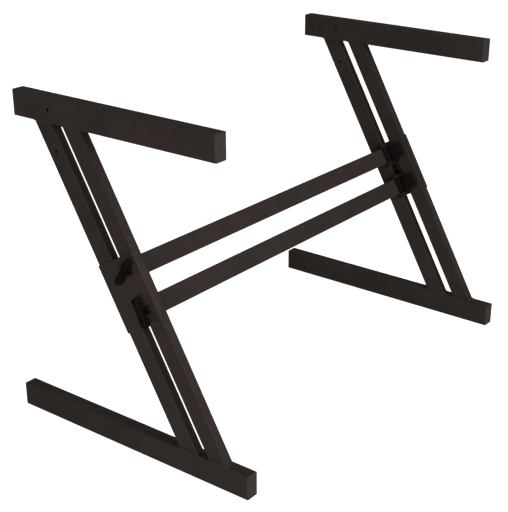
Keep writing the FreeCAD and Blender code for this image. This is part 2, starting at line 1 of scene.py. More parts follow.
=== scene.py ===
"""Looks of a folding Z-shaped keyboard stand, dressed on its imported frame.

Metres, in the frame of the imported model: +Z is up, -Y is the player's side and +X the player's right.
"""

import json
import logging
import math
import random
from collections.abc import Iterable, Sequence
from dataclasses import dataclass, field, replace
from enum import Enum

import bpy
from mathutils import Matrix, Vector


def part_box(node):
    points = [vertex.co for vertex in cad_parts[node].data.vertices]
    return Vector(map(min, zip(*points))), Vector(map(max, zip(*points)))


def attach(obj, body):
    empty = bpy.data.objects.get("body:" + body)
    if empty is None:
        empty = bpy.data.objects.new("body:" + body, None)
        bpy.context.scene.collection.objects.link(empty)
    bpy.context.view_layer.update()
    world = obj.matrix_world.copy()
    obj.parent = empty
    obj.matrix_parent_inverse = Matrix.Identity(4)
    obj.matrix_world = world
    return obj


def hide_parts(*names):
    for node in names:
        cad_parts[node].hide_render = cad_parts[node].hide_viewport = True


LOG = logging.getLogger("keyboard_stand")
MM = 0.001

Colour = tuple[float, float, float]
Triple = tuple[float, float, float]
Ring = list[Vector]

BRACE_LEAN = math.radians(60.3)
UPRIGHT_TURN = math.radians(90.0) - BRACE_LEAN
SHARP_ANGLE = math.radians(38.0)
CORNER_CHORDS = 5
DUST_COLOUR: Colour = (0.16, 0.145, 0.13)
# Share of the light tone laid on every edge and rounded corner: a painted highlight.
EDGE_PAINTED_HIGHLIGHT = 0.12
LEANING_NODES = ("diagonal", "saddle", "crossbar")


# ---------------------------------------------------------------- names and options

class Side(Enum):
    """The two side frames, as the player sees them."""

    LEFT = "left"
    RIGHT = "right"

    @property
    def outward(self) -> float:
        """The sign of X on this side's outer face."""
        return -1.0 if self is Side.LEFT else 1.0


class Level(Enum):
    """The two crossbar levels."""

    UPPER = "upper"
    LOWER = "lower"


class Slot(Enum):
    """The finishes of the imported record."""

    POWDER_COAT = "powder_coat"
    CAP_PLASTIC = "cap_plastic"
    KNOB_PLASTIC = "knob_plastic"
    HINGE_NYLON = "hinge_nylon"
    CAST_BLACK = "cast_black"
    BLACKENED_STEEL = "blackened_steel"
    ZINC_STEEL = "zinc_steel"
    INSERT_BRASS = "insert_brass"


# ---------------------------------------------------------------- shader nodes

class Graph:
    """Writes the nodes of one shader tree."""

    def __init__(self, tree: bpy.types.NodeTree) -> None:
        """Start on a tree.

        Args:
            tree: the node tree of a material or of a node group.
        """
        self.tree = tree

    def node(self, kind: str, **settings: object) -> bpy.types.Node:
        """Add a node.

        Args:
            kind: the node's type name.
            **settings: properties to set on it.

        Returns:
            The new node.
        """
        made = self.tree.nodes.new(kind)
        for name, value in settings.items():
            setattr(made, name, value)
        return made

    def feed(self, socket: bpy.types.NodeSocket, value: object) -> None:
        """Link another node's socket to an input, or set the input to a constant.

        Args:
            socket: the input.
            value: an output socket, a number or a sequence of numbers.
        """
        if isinstance(value, bpy.types.NodeSocket):
            self.tree.links.new(value, socket)
        else:
            socket.default_value = value

    def maths(self, operation: str, first: object, second: object = 0.0,
              clamp: bool = False) -> bpy.types.NodeSocket:
        """One arithmetic step on two values.

        Args:
            operation: the name of the operation.
            first: a socket or a number.
            second: a socket or a number.
            clamp: keep the result from 0 to 1.

        Returns:
            The result's socket.
        """
        step = self.node("ShaderNodeMath", operation=operation, use_clamp=clamp)
        self.feed(step.inputs[0], first)
        self.feed(step.inputs[1], second)
        return step.outputs[0]

    def spread(self, value: object, low: object, high: object, to_low: float = 0.0,
               to_high: float = 1.0) -> bpy.types.NodeSocket:
        """A smooth step from one range to another.

        Args:
            value: the value that is spread.
            low: where the step starts.
            high: where the step ends.
            to_low: the result at the start.
            to_high: the result at the end.

        Returns:
            The result's socket.
        """
        step = self.node("ShaderNodeMapRange", interpolation_type="SMOOTHSTEP")
        for name, number in (("Value", value), ("From Min", low), ("From Max", high), ("To Min", to_low),
                             ("To Max", to_high)):
            self.feed(step.inputs[name], number)
        return step.outputs["Result"]

    def blend(self, factor: object, first: object, second: object) -> bpy.types.NodeSocket:
        """A colour between two colours.

        Args:
            factor: 0 gives the first colour and 1 the second.
            first: a colour or a socket.
            second: a colour or a socket.

        Returns:
            The colour's socket.
        """
        mix = self.node("ShaderNodeMix", data_type="RGBA")
        self.feed(mix.inputs["Factor"], factor)
        for socket, colour in ((mix.inputs[6], first), (mix.inputs[7], second)):
            self.feed(socket, (*colour, 1.0) if isinstance(colour, tuple) else colour)
        return mix.outputs[2]

    def noise(self, place: object, scale: object, detail: float = 2.0,
              roughness: float = 0.5) -> bpy.types.NodeSocket:
        """Fractal noise from 0 to 1.

        Args:
            place: the coordinates' socket.
            scale: how many features there are to a metre.
            detail: how many finer layers are added.
            roughness: how strong the finer layers are.

        Returns:
            The value's socket.
        """
        cloud = self.node("ShaderNodeTexNoise")
        given = {"Vector": place, "Scale": scale, "Detail": detail, "Roughness": roughness}
        for name, value in given.items():
            self.feed(cloud.inputs[name], value)
        return cloud.outputs[0]

    def stretched(self, place: object, factors: Triple) -> bpy.types.NodeSocket:
        """Coordinates scaled by a factor on each axis.

        Args:
            place: the coordinates' socket.
            factors: the scale on X, Y and Z.

        Returns:
            The scaled coordinates' socket.
        """
        step = self.node("ShaderNodeVectorMath", operation="MULTIPLY")
        self.feed(step.inputs[0], place)
        self.feed(step.inputs[1], factors)
        return step.outputs[0]

    def effect(self, group: bpy.types.NodeTree, **values: object) -> bpy.types.Node:
        """Place a shared effect with its own values.

        Args:
            group: the effect's node group.
            **values: inputs by name, with _ for a space.

        Returns:
            The group node.
        """
        placed = self.node("ShaderNodeGroup", node_tree=group)
        for name, value in values.items():
            self.feed(placed.inputs[name.replace("_", " ")], value)
        return placed


@dataclass
class Effects:
    """The node groups that several finishes share, each built once."""

    grain: bpy.types.NodeTree = field(init=False)
    edge_wear_and_highlight: bpy.types.NodeTree = field(init=False)
    dust: bpy.types.NodeTree = field(init=False)
    scuffs: bpy.types.NodeTree = field(init=False)

    def __post_init__(self) -> None:
        """Build all groups."""
        self.grain = self.build_grain()
        self.edge_wear_and_highlight = self.build_edge_wear_and_highlight()
        self.dust = self.build_dust()
        self.scuffs = self.build_scuffs()

    @staticmethod
    def blank(name: str, inputs: Sequence[tuple[str, float]], outputs: Iterable[str]) -> bpy.types.NodeTree:
        """An empty group with value sockets.

        Args:
            name: the group's name.
            inputs: each input's name and first value.
            outputs: each output's name.

        Returns:
            The group.
        """
        tree = bpy.data.node_groups.new(name, "ShaderNodeTree")
        for label, value in inputs:
            socket = tree.interface.new_socket(label, in_out="INPUT", socket_type="NodeSocketFloat")
            socket.default_value = value
        for label in outputs:
            tree.interface.new_socket(label, in_out="OUTPUT", socket_type="NodeSocketFloat")
        return tree

    def build_grain(self) -> bpy.types.NodeTree:
        """Fine surface grain with a broad unevenness of tone.

        Returns:
            A group from Grain Scale and Tone Scale to Height and Tone.
        """
        inputs = (("Grain Scale", 1500.0), ("Tone Scale", 12.0))
        tree = self.blank("surface grain", inputs, ("Height", "Tone"))
        graph = Graph(tree)
        given = graph.node("NodeGroupInput")
        place = graph.node("ShaderNodeTexCoord").outputs["Object"]
        peel_scale = 0.24
        fine_share = 0.45
        peel_share = 0.55
        fine = graph.noise(place, given.outputs["Grain Scale"], 3.0, 0.6)
        peel_size = graph.maths("MULTIPLY", given.outputs["Grain Scale"], peel_scale)
        orange_peel = graph.noise(place, peel_size, 1.0)
        height = graph.maths(
            "ADD", graph.maths("MULTIPLY", fine, fine_share), graph.maths("MULTIPLY", orange_peel, peel_share)
        )
        tone = graph.noise(place, given.outputs["Tone Scale"], 4.0, 0.55)
        result = graph.node("NodeGroupOutput")
        graph.feed(result.inputs["Height"], height)
        graph.feed(result.inputs["Tone"], graph.spread(tone, 0.3, 0.7))
        return tree

    def build_edge_wear_and_highlight(self) -> bpy.types.NodeTree:
        """Corners and edges, which painted finishes lighten as a painted highlight, and where their finish is
        rubbed.

        Returns:
            A group from Lean, Radius and Breakup to Edge and Wear.
        """
        inputs = (("Lean", 0.0), ("Radius", 0.001), ("Breakup", 60.0))
        tree = self.blank("edge wear", inputs, ("Edge", "Wear"))
        graph = Graph(tree)
        given = graph.node("NodeGroupInput")
        coordinates = graph.node("ShaderNodeTexCoord")
        turned = graph.node("ShaderNodeVectorRotate", rotation_type="X_AXIS")
        graph.feed(turned.inputs["Vector"], coordinates.outputs["Normal"])
        graph.feed(turned.inputs["Angle"], given.outputs["Lean"])
        parts = graph.node("ShaderNodeSeparateXYZ")
        graph.feed(parts.inputs[0], turned.outputs[0])
        sizes = [graph.maths("ABSOLUTE", output) for output in parts.outputs]
        flatness = graph.maths("MAXIMUM", graph.maths("MAXIMUM", sizes[0], sizes[1]), sizes[2])
        round_corner = graph.spread(flatness, 0.985, 0.80)
        bevel = graph.node("ShaderNodeBevel", samples=4)
        graph.feed(bevel.inputs["Radius"], given.outputs["Radius"])
        agreement = graph.node("ShaderNodeVectorMath", operation="DOT_PRODUCT")
        graph.feed(agreement.inputs[0], bevel.outputs[0])
        graph.feed(agreement.inputs[1], graph.node("ShaderNodeNewGeometry").outputs["Normal"])
        sharp_edge = graph.spread(agreement.outputs["Value"], 0.995, 0.86)
        edge = graph.maths("MAXIMUM", round_corner, sharp_edge)
        patches = graph.noise(coordinates.outputs["Object"], given.outputs["Breakup"], 5.0, 0.65)
        wear = graph.maths("MULTIPLY", edge, graph.spread(patches, 0.50, 0.72))
        result = graph.node("NodeGroupOutput")
        # The Edge mask drives the painted edge highlight; the Wear mask is real rubbed finish.
        graph.feed(result.inputs["Edge"], edge)
        graph.feed(result.inputs["Wear"], wear)
        return tree

    def build_dust(self) -> bpy.types.NodeTree:
        """Fine dust that settles on faces that look up.

        Returns:
            A group from Amount and Scale to Mask.
        """
        tree = self.blank("settled dust", (("Amount", 0.3), ("Scale", 40.0)), ("Mask",))
        graph = Graph(tree)
        given = graph.node("NodeGroupInput")
        coordinates = graph.node("ShaderNodeTexCoord")
        parts = graph.node("ShaderNodeSeparateXYZ")
        graph.feed(parts.inputs[0], coordinates.outputs["Normal"])
        upward = graph.spread(parts.outputs["Z"], 0.35, 0.95)
        drift = graph.noise(coordinates.outputs["Object"], given.outputs["Scale"], 6.0, 0.7)
        mask = graph.maths("MULTIPLY", upward, graph.spread(drift, 0.35, 0.75))
        result = graph.node("NodeGroupOutput")
        graph.feed(result.inputs["Mask"], graph.maths("MULTIPLY", mask, given.outputs["Amount"], clamp=True))
        return tree

    def build_scuffs(self) -> bpy.types.NodeTree:
        """Short faint rub marks, drawn out along Y and thinned by patches.

        Returns:
            A group from Amount and Scale to Mask.
        """
        tree = self.blank("rub marks", (("Amount", 0.5), ("Scale", 90.0)), ("Mask",))
        graph = Graph(tree)
        given = graph.node("NodeGroupInput")
        place = graph.node("ShaderNodeTexCoord").outputs["Object"]
        drawn = graph.stretched(place, (1.0, 0.12, 1.0))
        streaks = graph.noise(drawn, given.outputs["Scale"], 6.0, 0.75)
        patches = graph.noise(place, 9.0, 2.0)
        mask = graph.maths("MULTIPLY", graph.spread(streaks, 0.60, 0.74), graph.spread(patches, 0.45, 0.65))
        result = graph.node("NodeGroupOutput")
        graph.feed(result.inputs["Mask"], graph.maths("MULTIPLY", mask, given.outputs["Amount"], clamp=True))
        return tree


# ---------------------------------------------------------------- finishes

@dataclass(frozen=True)
class PaintedFinish:
    """A painted or moulded surface: dark colour, grain, worn edges, a painted highlight on every edge, rub
    marks and dust.
    """

    name: str
    colour: Colour
    # The lighter end of the random tone, and also the colour of the painted edge highlight.
    light_tone: Colour
    worn_colour: Colour
    roughness: float
    specular: float
    grain_scale: float
    grain_height: float
    wear: float
    dust: float
    rubs: float
    lean: float = 0.0
    edge_radius: float = 1.0 * MM
    tone_scale: float = 14.0
    breakup: float = 70.0
    dust_scale: float = 55.0
    rub_scale: float = 110.0
    roughness_swing: float = 0.05
    rubbed_gloss: float = 0.12
    dusty_roughness: float = 0.3
    bump_strength: float = 0.6

    def build(self, effects: Effects) -> bpy.types.Material:
        """Make the material.

        Args:
            effects: the shared node groups.

        Returns:
            The new material.
        """
        material = bpy.data.materials.new(self.name)
        material.use_nodes = True
        graph = Graph(material.node_tree)
        shader = material.node_tree.nodes["Principled BSDF"]
        grain = graph.effect(effects.grain, Grain_Scale=self.grain_scale, Tone_Scale=self.tone_scale)
        edges = graph.effect(effects.edge_wear_and_highlight, Lean=self.lean, Radius=self.edge_radius, Breakup=self.breakup)
        dust = graph.effect(effects.dust, Amount=self.dust, Scale=self.dust_scale)
        rubs = graph.effect(effects.scuffs, Amount=self.rubs, Scale=self.rub_scale)
        worn = graph.maths("MULTIPLY", edges.outputs["Wear"], self.wear, clamp=True)
        rubbed = graph.maths("MAXIMUM", worn, rubs.outputs["Mask"])
        colour = graph.blend(grain.outputs["Tone"], self.colour, self.light_tone)
        # Painted highlight: every edge and rounded corner is lightened towards the light tone, standing in
        # for light caught there.
        edge_highlight = graph.maths("MULTIPLY", edges.outputs["Edge"], EDGE_PAINTED_HIGHLIGHT)
        colour = graph.blend(edge_highlight, colour, self.light_tone)
        colour = graph.blend(rubbed, colour, self.worn_colour)
        colour = graph.blend(dust.outputs["Mask"], colour, DUST_COLOUR)
        graph.feed(shader.inputs["Base Color"], colour)
        smooth = self.roughness - self.roughness_swing
        coarse = self.roughness + self.roughness_swing
        uneven = graph.spread(grain.outputs["Height"], 0.35, 0.65, smooth, coarse)
        rough = graph.maths("SUBTRACT", uneven, graph.maths("MULTIPLY", rubbed, self.rubbed_gloss))
        dulled = graph.maths("MULTIPLY", dust.outputs["Mask"], self.dusty_roughness)
        rough = graph.maths("ADD", rough, dulled, clamp=True)
        graph.feed(shader.inputs["Roughness"], rough)
        shader.inputs["Specular IOR Level"].default_value = self.specular
        bump = graph.node("ShaderNodeBump")
        graph.feed(bump.inputs["Strength"], self.bump_strength)
        graph.feed(bump.inputs["Distance"], self.grain_height)
        graph.feed(bump.inputs["Height"], grain.outputs["Height"])
        graph.feed(shader.inputs["Normal"], bump.outputs[0])
        return material


@dataclass(frozen=True)
class MetalFinish:
    """Bare or plated metal with drawing lines, tarnish and a worn edge."""

    name: str
    colour: Colour
    tarnish: Colour
    roughness: float
    line_factors: Triple
    line_scale: float
    line_height: float
    grain_scale: float = 2200.0
    tone_scale: float = 160.0
    edge_radius: float = 0.5 * MM
    breakup: float = 300.0
    tarnish_share: float = 0.7
    polish_share: float = 0.5
    smoother: float = 0.08
    rougher: float = 0.10
    bump_strength: float = 0.5

    def build(self, effects: Effects) -> bpy.types.Material:
        """Make the material.

        Args:
            effects: the shared node groups.

        Returns:
            The new material.
        """
        material = bpy.data.materials.new(self.name)
        material.use_nodes = True
        graph = Graph(material.node_tree)
        shader = material.node_tree.nodes["Principled BSDF"]
        place = graph.node("ShaderNodeTexCoord").outputs["Object"]
        lines = graph.noise(graph.stretched(place, self.line_factors), self.line_scale, 3.0, 0.6)
        grain = graph.effect(effects.grain, Grain_Scale=self.grain_scale, Tone_Scale=self.tone_scale)
        edges = graph.effect(effects.edge_wear_and_highlight, Lean=0.0, Radius=self.edge_radius, Breakup=self.breakup)
        tarnished = graph.maths("MULTIPLY", grain.outputs["Tone"], self.tarnish_share)
        colour = graph.blend(tarnished, self.colour, self.tarnish)
        polished = graph.maths("MULTIPLY", edges.outputs["Wear"], self.polish_share)
        colour = graph.blend(polished, colour, self.colour)
        graph.feed(shader.inputs["Base Color"], colour)
        smooth = self.roughness - self.smoother
        coarse = self.roughness + self.rougher
        graph.feed(shader.inputs["Roughness"], graph.spread(lines, 0.3, 0.7, smooth, coarse))
        shader.inputs["Metallic"].default_value = 1.0
        bump = graph.node("ShaderNodeBump")
        graph.feed(bump.inputs["Strength"], self.bump_strength)
        graph.feed(bump.inputs["Distance"], self.line_height)
        graph.feed(bump.inputs["Height"], lines)
        graph.feed(shader.inputs["Normal"], bump.outputs[0])
        return material


LEVEL_COAT = PaintedFinish(
    name="powder_coat_level", colour=(0.0385, 0.0275, 0.0232), light_tone=(0.0470, 0.0340, 0.0290),
    worn_colour=(0.075, 0.065, 0.058), roughness=0.62, specular=0.15, grain_scale=1400.0,
    grain_height=0.10 * MM, wear=0.45, dust=0.10, rubs=0.12,
)
LEANING_COAT = replace(LEVEL_COAT, name="powder_coat_leaning", dust=0.06, rubs=0.08, lean=UPRIGHT_TURN)
PAINTED: dict[Slot, PaintedFinish] = {
    Slot.POWDER_COAT: LEVEL_COAT,
    Slot.CAP_PLASTIC: PaintedFinish(
        name="cap_plastic", colour=(0.040, 0.0305, 0.0265), light_tone=(0.050, 0.039, 0.034),
        worn_colour=(0.09, 0.085, 0.08), roughness=0.55, specular=0.28, grain_scale=2600.0,
        grain_height=0.06 * MM, wear=0.5, dust=0.10, rubs=0.15, edge_radius=0.7 * MM,
    ),
    Slot.KNOB_PLASTIC: PaintedFinish(
        name="knob_plastic", colour=(0.0060, 0.0032, 0.0025), light_tone=(0.0085, 0.0050, 0.0042),
        worn_colour=(0.02, 0.017, 0.015), roughness=0.55, specular=0.05, grain_scale=2600.0,
        grain_height=0.05 * MM, wear=0.35, dust=0.08, rubs=0.10, edge_radius=0.8 * MM,
    ),
    Slot.HINGE_NYLON: PaintedFinish(
        name="hinge_nylon", colour=(0.0125, 0.0072, 0.0060), light_tone=(0.0160, 0.0098, 0.0084),
        worn_colour=(0.030, 0.027, 0.025), roughness=0.58, specular=0.10, grain_scale=2000.0,
        grain_height=0.06 * MM, wear=0.25, dust=0.10, rubs=0.05,
        lean=UPRIGHT_TURN, edge_radius=0.8 * MM,
    ),
    Slot.CAST_BLACK: PaintedFinish(
        name="cast_black", colour=(0.0045, 0.0026, 0.0022), light_tone=(0.0065, 0.0040, 0.0034),
        worn_colour=(0.02, 0.017, 0.015), roughness=0.62, specular=0.05, grain_scale=700.0,
        grain_height=0.22 * MM, wear=0.5, dust=0.08, rubs=0.05,
        lean=UPRIGHT_TURN, edge_radius=0.8 * MM,
    ),
}
METALS: dict[Slot, MetalFinish] = {
    Slot.BLACKENED_STEEL: MetalFinish(
        name="blackened_steel", colour=(0.022, 0.018, 0.016), tarnish=(0.010, 0.0075, 0.0065), roughness=0.50,
        line_factors=(1.0, 1.0, 0.06), line_scale=2400.0, line_height=0.02 * MM,
    ),
    Slot.ZINC_STEEL: MetalFinish(
        name="zinc_steel", colour=(0.20, 0.19, 0.18), tarnish=(0.10, 0.095, 0.09), roughness=0.42,
        line_factors=(0.06, 1.0, 1.0), line_scale=2600.0, line_height=0.015 * MM,
    ),
    Slot.INSERT_BRASS: MetalFinish(
        name="insert_brass", colour=(0.66, 0.47, 0.20), tarnish=(0.38, 0.25, 0.10), roughness=0.32,
        line_factors=(0.06, 1.0, 1.0), line_scale=2200.0, line_height=0.02 * MM,
    ),
}
WELD_COAT = PaintedFinish(
    name="powder_coat_welds", colour=(0.024, 0.018, 0.016), light_tone=(0.036, 0.029, 0.026),
    worn_colour=(0.10, 0.09, 0.08), roughness=0.34, specular=0.5, grain_scale=1400.0,
    grain_height=0.10 * MM, wear=0.3, dust=0.05, rubs=0.0, edge_radius=0.5 * MM,
)


@dataclass
class Paintbox:
    """The stand's materials, built once."""

    effects: Effects = field(default_factory=Effects)
    by_slot: dict[Slot, bpy.types.Material] = field(init=False)
    leaning_coat: bpy.types.Material = field(init=False)
    weld_coat: bpy.types.Material = field(init=False)

    def __post_init__(self) -> None:
        """Build every material."""
        self.by_slot = {slot: finish.build(self.effects) for slot, finish in (PAINTED | METALS).items()}
        self.leaning_coat = LEANING_COAT.build(self.effects)
        self.weld_coat = WELD_COAT.build(self.effects)

    def dress(self, node: bpy.types.Object, slot: Slot) -> None:
        """Put a slot's material on a node of the frame.

        Args:
            node: the frame's object.
            slot: the finish that it takes.
        """
        leaning = slot is Slot.POWDER_COAT and any(word in node.name for word in LEANING_NODES)
        material = self.leaning_coat if leaning else self.by_slot[slot]
        for place in node.material_slots:
            place.material = material


# ---------------------------------------------------------------- mesh helpers

def rounded_outline(half_width: float, half_height: float, corner: float,
                    steps: int) -> list[tuple[float, float]]:
    """A closed outline of a rounded rectangle, counter-clockwise.

    Args:
        half_width: half its size along the first axis.
        half_height: half its size along the second axis.
        corner: the radius of its corners.
        steps: how many chords a corner has.

    Returns:
        The outline's points.
    """
    points = []
    for quarter in range(4):
        sign_x = (1, -1, -1, 1)[quarter]
        sign_y = (1, 1, -1, -1)[quarter]
        for step in range(steps + 1):
            angle = (quarter + step / steps) * math.pi / 2.0
            points.append((
                sign_x * (half_width - corner) + corner * math.cos(angle),
                sign_y * (half_height - corner) + corner * math.sin(angle),
            ))
    return points


def skin(name: str, rings: Sequence[Ring], closed: bool, material: bpy.types.Material) -> bpy.types.Object:
    """An object skinned over rings of points.

    Args:
        name: the new object's name.
        rings: rings of as many points each.
        closed: join the last ring to the first; otherwise both ends are covered.
        material: the object's material.

    Returns:
        The new object, linked to the scene.
    """
    count = len(rings[0])
    points = [tuple(point) for ring in rings for point in ring]
    faces: list[tuple[int, ...]] = []
    spans = len(rings) if closed else len(rings) - 1
    for index in range(spans):
        first = index * count
        second = ((index + 1) % len(rings)) * count
        for step in range(count):
            after = (step + 1) % count
            faces.append((first + step, first + after, second + after, second + step))
    if not closed:
        faces.append(tuple(reversed(range(count))))
        last = (len(rings) - 1) * count
        faces.append(tuple(range(last, last + count)))
    return from_faces(name, points, faces, material)


def from_faces(name: str, points: Sequence[tuple[float, ...]], faces: Sequence[tuple[int, ...]],
               material: bpy.types.Material) -> bpy.types.Object:
    """An object from points and faces, smooth but for its sharp edges.

    Args:
        name: the new object's name.
        points: the corners.
        faces: each face's corners by number.
        material: the object's material.

    Returns:
        The new object, linked to the scene.
    """
    mesh = bpy.data.meshes.new(name)
    mesh.from_pydata(list(points), [], list(faces))
    mesh.validate()
    mesh.polygons.foreach_set("use_smooth", [True] * len(mesh.polygons))
    mesh.set_sharp_from_angle(angle=SHARP_ANGLE)
    mesh.materials.append(material)
    made = bpy.data.objects.new(name, mesh)
    bpy.context.scene.collection.objects.link(made)
    return made


def joined(name: str, pieces: Sequence[bpy.types.Object]) -> bpy.types.Object:
    """One object from several that stand at the origin and share their material.

    Args:
        name: the new object's name.
        pieces: the objects, which are removed.

    Returns:
        The new object.
    """
    points: list[tuple[float, ...]] = []
    faces: list[tuple[int, ...]] = []
    material = pieces[0].data.materials[0]
    for piece in pieces:
        shift = len(points)
        points += [tuple(vertex.co) for vertex in piece.data.vertices]
        faces += [tuple(shift + corner for corner in face.vertices) for face in piece.data.polygons]
        bpy.data.objects.remove(piece)
    return from_faces(name, points, faces, material)


# ---------------------------------------------------------------- welds

@dataclass
class LeanFrame:
    """The frame of one side's diagonals: outward along X, across to the rear, and up along them."""

    side: Side
    lean: float = BRACE_LEAN
    origin: Vector = field(init=False)
    across: Vector = field(init=False)
    along: Vector = field(init=False)

    def __post_init__(self) -> None:
        """Find the middle of the two diagonals from the frame."""
        diagonals = [f"{self.side.value}_{name}_diagonal" for name in ("front", "rear")]
        corners = [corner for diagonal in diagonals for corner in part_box(diagonal)]
        self.origin = sum(corners, Vector()) / len(corners)
        self.across = Vector((0.0, math.sin(self.lean), -math.cos(self.lean)))
        self.along = Vector((0.0, math.cos(self.lean), math.sin(self.lean)))

    def point(self, out: float, across: float, along: float) -> Vector:
        """A point of the stand.

        Args:
            out: how far outward from the diagonals' middle plane.
            across: how far to the rear, square to the diagonals.
            along: how far up along the diagonals.

        Returns:
            The point.
        """
        outward = Vector((self.side.outward, 0.0, 0.0))
        return self.origin + outward * out + self.across * across + self.along * along


@dataclass
class SideFrameWelds:
    """The weld beads of one side frame."""

    side: Side
    brace_width: float = 38.5 * MM
    brace_corner: float = 1.5 * MM
    brace_gap: float = 23.5 * MM
    brace_depth: float = 19.0 * MM
    saddle_length: float = 138.0 * MM
    bead_radius: float = 2.3 * MM
    bead_pitch: float = 2.2 * MM
    bead_sides: int = 12
    mean_size: float = 0.86
    ripple_size: float = 0.12
    wander_size: float = 0.025
    wander_orders: int = 8
    least_taper: float = 0.02
    least_points: int = 12
    step: float = 0.55 * MM
    tack_length: float = 26.0 * MM
    tack_lift: float = 0.2 * MM

    def bead(self, name: str, path: Sequence[Vector], closed: bool, draw: random.Random,
             material: bpy.types.Material) -> bpy.types.Object:
        """A rippled weld bead along a path.

        Args:
            name: the bead's name.
            path: points a little way apart.
            closed: the path ends where it starts.
            draw: the source of its unevenness.
            material: its finish.

        Returns:
            The bead.
        """
        rings = []
        phase = draw.uniform(0.0, math.tau)
        count = len(path)
        swell = [draw.uniform(-1.0, 1.0) for _ in range(self.wander_orders)]
        for index, point in enumerate(path):
            before = path[index - 1] if closed or index else path[index]
            after = path[(index + 1) % count] if closed or index < count - 1 else path[index]
            forward = (after - before).normalized()
            first = forward.orthogonal().normalized()
            second = forward.cross(first)
            share = index / count
            slow = sum(
                size * math.sin(math.tau * (order + 1) * share + order) for order, size in enumerate(swell)
            )
            ripple = abs(math.sin(phase + math.pi * index * self.step / self.bead_pitch))
            radius = self.bead_radius * (self.mean_size + self.ripple_size * ripple + self.wander_size * slow)
            if not closed:
                radius *= math.sqrt(max(self.least_taper, math.sin(math.pi * (index + 0.5) / count)))
            rings.append([
                point + first * (radius * math.cos(turn)) + second * (radius * math.sin(turn))
                for turn in (math.tau * side / self.bead_sides for side in range(self.bead_sides))
            ])
        return skin(name, self.untwisted(rings), closed, material)

    @staticmethod
    def untwisted(rings: Sequence[Ring]) -> list[Ring]:
        """Turn each ring's numbering so that its points follow the ring before.

        Args:
            rings: the bead's rings.

        Returns:
            The same rings, renumbered.
        """
        kept = [list(rings[0])]
        for ring in rings[1:]:
            previous = kept[-1]
            count = len(ring)
            shift = min(range(count), key=lambda turn: sum(
                (ring[(step + turn) % count] - previous[step]).length_squared for step in (0, count // 3)
            ))
            kept.append([ring[(step + shift) % count] for step in range(count)])
        return kept

    def resampled(self, corners: Sequence[Vector]) -> list[Vector]:
        """Even points along a closed outline.

        Args:
            corners: the outline.

        Returns:
            Points about one step apart.
        """
        spans = [(corners[index], corners[(index + 1) % len(corners)]) for index in range(len(corners))]
        total = sum((end - start).length for start, end in spans)
        count = max(self.least_points, round(total / self.step))
        points = []
        travelled = 0.0
        for start, end in spans:
            length = (end - start).length
            while len(points) < count and len(points) * total / count <= travelled + length:
                share = (len(points) * total / count - travelled) / max(length, 1e-9)
                points.append(start.lerp(end, share))
            travelled += length
        return points

    def joint_path(self, diagonal: str, at_top: bool) -> list[Vector]:
        """Where a diagonal meets the arm or the foot.

        Args:
            diagonal: front or rear.
            at_top: True at the arm and False at the foot.

        Returns:
            Even points round the joint.
        """
        low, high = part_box(f"{self.side.value}_{diagonal}_diagonal")
        half_run = self.brace_width / math.sin(BRACE_LEAN) / 2.0
        centre_y = high.y - half_run if at_top else low.y + half_run
        height = high.z if at_top else low.z
        half_width = (high.x - low.x) / 2.0
        centre_x = (high.x + low.x) / 2.0
        outline = rounded_outline(half_width, half_run, self.brace_corner, CORNER_CHORDS)
        return self.resampled([Vector((centre_x + x, centre_y + y, height)) for x, y in outline])

    def build(self, paint: Paintbox) -> bpy.types.Object:
        """All weld beads of the side, as one piece.

        Args:
            paint: the materials.

        Returns:
            The welds, riding on the side frame.
        """
        draw = random.Random(f"welds {self.side.value}")
        lean = LeanFrame(self.side)
        beads = []
        for diagonal in ("front", "rear"):
            for at_top in (False, True):
                path = self.joint_path(diagonal, at_top)
                beads.append(self.bead("bead", path, True, draw, paint.weld_coat))
        offset = (self.brace_width + self.brace_gap) / 2.0
        count = round(self.tack_length / self.step)
        for across in (-offset, offset):
            for end in (-1.0, 1.0):
                path = [
                    lean.point(
                        self.brace_depth / 2.0 + self.tack_lift,
                        across + (index / count - 0.5) * self.tack_length,
                        end * (self.saddle_length / 2.0 + self.tack_lift),
                    )
                    for index in range(count + 1)
                ]
                beads.append(self.bead("tack", path, False, draw, paint.weld_coat))
        welds = joined(f"{self.side.value}_frame_welds", beads)
        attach(welds, f"{self.side.value}_frame")
        return welds


# ---------------------------------------------------------------- moulded end caps

